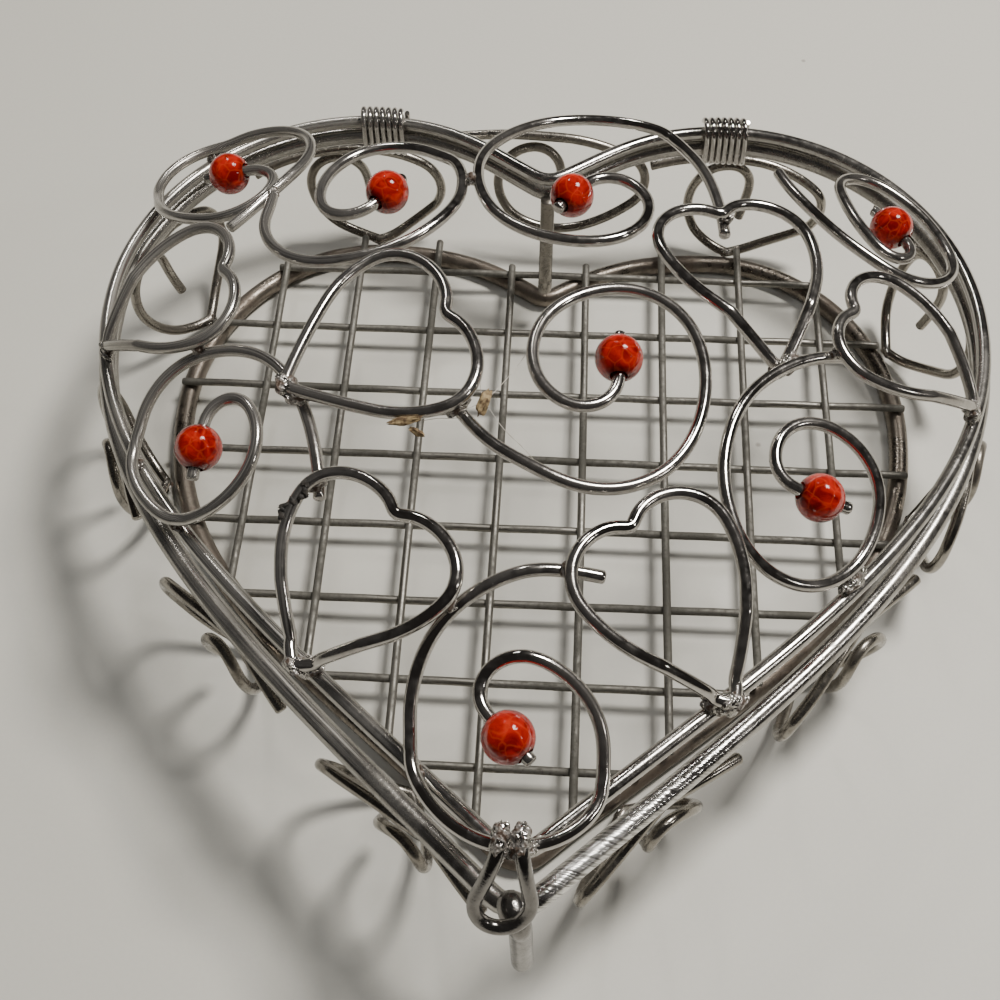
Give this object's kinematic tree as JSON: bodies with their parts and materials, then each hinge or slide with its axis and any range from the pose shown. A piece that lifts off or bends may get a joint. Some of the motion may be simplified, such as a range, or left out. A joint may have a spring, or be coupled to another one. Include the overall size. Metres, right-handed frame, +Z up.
{
  "type": "wire trinket box",
  "caption": "Heart-shaped wire trinket box with a mesh floor, curled wire walls and a hinged domed lid of scrolls, open hearts and red beads, its clasp resting on the catch.",
  "frame": {"origin": "middle of the footprint, on the table under the bottom ring", "axes": "+Z up, +Y towards the two lobes where the lid is hinged, -Y towards the heart's point and clasp, +X to the right seen from the point"},
  "size_m": [0.1334, 0.1338, 0.0499],
  "materials": {
    "bright_wire": "bright plated wire with light pitting",
    "aged_wire": "dulled, slightly brown plated wire",
    "beads": "clear red crackled acrylic"
  },
  "bodies": {
    "box": {"bottom_ring": "aged_wire", "catch_post": "bright_wire", "cusp_post": "aged_wire", "floor_mesh": "aged_wire", "hinge_coil_left": "bright_wire", "hinge_coil_right": "bright_wire", "top_ring": "bright_wire", "wall_curl_1": "aged_wire", "wall_curl_10": "aged_wire", "wall_curl_11": "aged_wire", "wall_curl_2": "aged_wire", "wall_curl_3": "aged_wire", "wall_curl_4": "aged_wire", "wall_curl_5": "aged_wire", "wall_curl_6": "aged_wire", "wall_curl_7": "aged_wire", "wall_curl_8": "aged_wire", "wall_curl_9": "aged_wire"},
    "lid": {"bead_1": "beads", "bead_2": "beads", "bead_3": "beads", "bead_4": "beads", "bead_5": "beads", "bead_6": "beads", "bead_7": "beads", "bead_8": "beads", "clasp_loop": "bright_wire", "lid_heart_1": "bright_wire", "lid_heart_2": "bright_wire", "lid_heart_3": "bright_wire", "lid_heart_4": "bright_wire", "lid_heart_5": "bright_wire", "lid_heart_6": "bright_wire", "lid_ring": "bright_wire", "lid_scroll_1": "bright_wire", "lid_scroll_2": "bright_wire", "lid_scroll_3": "bright_wire", "lid_scroll_4": "bright_wire", "lid_scroll_5": "bright_wire", "lid_scroll_6": "bright_wire", "lid_scroll_7": "bright_wire", "lid_scroll_8": "bright_wire"}
  },
  "joints": [
    {"name": "lid_hinge", "type": "hinge", "parent": "box", "child": "lid", "pos_m": [-0.00007, 0.06283, 0.02615], "axis": [-1, 0, 0], "range_deg": [0, 120]}
  ]
}
